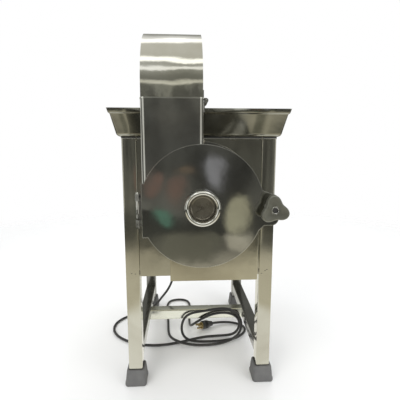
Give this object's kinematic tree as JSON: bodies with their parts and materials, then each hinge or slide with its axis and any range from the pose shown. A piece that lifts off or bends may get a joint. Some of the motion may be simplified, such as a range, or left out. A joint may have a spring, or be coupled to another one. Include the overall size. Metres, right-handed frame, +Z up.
{
  "type": "hammer mill",
  "caption": "Stainless hammer mill on square legs: feed tray, flip-over splash hood, round chamber with hinged clamped door, swinging hammers, motor in the cabinet.",
  "frame": {"origin": "centre of the machine's footprint box at floor level, measured without the mains cord", "axes": "+Z up, +X to the operator's right, -Y towards the operator and the chamber door"},
  "size_m": [0.5381, 0.6743, 0.9453],
  "materials": {
    "polished_steel": "mirror-polished stainless sheet, slightly smudged",
    "satin_steel": "satin stainless sheet",
    "chrome": "bright turned and polished",
    "knob_metal": "cast and tumbled, dull",
    "machined_steel": "machined",
    "motor_paint": "semi-gloss enamel",
    "grey_rubber": "moulded grey rubber, matt",
    "black_rubber": "black rubber sheath, matt",
    "black_plastic": "moulded black plastic",
    "brass": "plain brass"
  },
  "bodies": {
    "frame": {"leg_front_left": "polished_steel", "leg_front_right": "polished_steel", "leg_rear_left": "polished_steel", "leg_rear_right": "polished_steel", "shoe_front_left": "grey_rubber", "shoe_front_right": "grey_rubber", "shoe_rear_left": "grey_rubber", "shoe_rear_right": "grey_rubber", "side_rail_left": "polished_steel", "side_rail_right": "polished_steel", "crossbar": "polished_steel", "front_panel": "polished_steel", "rear_panel": "polished_steel", "left_panel": "polished_steel", "right_panel": "polished_steel", "cabinet_base": "satin_steel", "motor_shelf": "satin_steel", "feed_tray": "polished_steel", "feed_duct": "polished_steel", "hood_hinge_lower_leaf": "machined_steel", "hood_hinge_pin": "machined_steel", "chamber_casing": "polished_steel", "screen": "machined_steel", "discharge_chute": "satin_steel", "shaft_seal": "black_rubber", "door_hinge_bracket": "machined_steel", "door_hinge_pin": "chrome", "clamp_lug": "machined_steel", "motor_frame": "motor_paint", "motor_front_bell": "motor_paint", "motor_rear_bell": "motor_paint", "motor_fan_cover": "motor_paint", "terminal_box": "motor_paint", "cord_gland": "black_plastic", "mains_cord": "black_rubber", "plug_body": "black_plastic", "plug_pins": "brass"},
    "hood": {"splash_hood": "polished_steel", "hood_hinge_upper_leaf": "machined_steel"},
    "door": {"chamber_door": "polished_steel", "boss_ring": "chrome", "boss_cap": "polished_steel", "door_gasket": "black_rubber"},
    "clamp_washer": {"clamp_washer": "machined_steel"},
    "clamp_knob": {"clamp_knob": "knob_metal", "clamp_stud": "machined_steel"},
    "rotor": {"motor_shaft": "machined_steel", "rotor": "machined_steel", "rotor_nut": "machined_steel", "hammer_pin_1": "machined_steel", "hammer_pin_2": "machined_steel", "hammer_pin_3": "machined_steel", "hammer_pin_4": "machined_steel", "motor_fan": "black_plastic", "motor_armature": "machined_steel"},
    "hammer_1": {"hammer_1": "machined_steel"},
    "hammer_2": {"hammer_2": "machined_steel"},
    "hammer_3": {"hammer_3": "machined_steel"},
    "hammer_4": {"hammer_4": "machined_steel"}
  },
  "joints": [
    {"name": "rotor_spin", "type": "hinge", "parent": "frame", "child": "rotor", "pos_m": [0, -0.2355, 0.527], "axis": [0, 1, 0], "continuous": true},
    {"name": "hammer_1_swing", "type": "hinge", "parent": "rotor", "child": "hammer_1", "pos_m": [0.062, -0.2355, 0.527], "axis": [0, 1, 0], "range_deg": [-90, 90]},
    {"name": "hammer_2_swing", "type": "hinge", "parent": "rotor", "child": "hammer_2", "pos_m": [0, -0.2355, 0.589], "axis": [0, 1, 0], "range_deg": [-90, 90]},
    {"name": "hammer_3_swing", "type": "hinge", "parent": "rotor", "child": "hammer_3", "pos_m": [-0.062, -0.2355, 0.527], "axis": [0, 1, 0], "range_deg": [-90, 90]},
    {"name": "hammer_4_swing", "type": "hinge", "parent": "rotor", "child": "hammer_4", "pos_m": [0, -0.2355, 0.465], "axis": [0, 1, 0], "range_deg": [-90, 90]},
    {"name": "hood_flip", "type": "hinge", "parent": "frame", "child": "hood", "pos_m": [0.01, -0.252, 0.768], "axis": [0, 1, 0], "range_deg": [0, 90]},
    {"name": "door_swing", "type": "hinge", "parent": "frame", "child": "door", "pos_m": [-0.148, -0.2957, 0.521], "axis": [0, 0, -1], "range_deg": [0, 165]},
    {"name": "clamp_travel", "type": "slide", "parent": "door", "child": "clamp_washer", "axis": [0, -1, 0], "range_m": [0, 0.007]},
    {"name": "clamp_turn", "type": "hinge", "parent": "clamp_washer", "child": "clamp_knob", "pos_m": [0.16, -0.327, 0.525], "axis": [0, -1, 0], "range_deg": [0, 1440]}
  ],
  "couplings": [
    {"joint": "clamp_travel", "follows": "clamp_turn", "m_per_rad": 0.0002785}
  ]
}
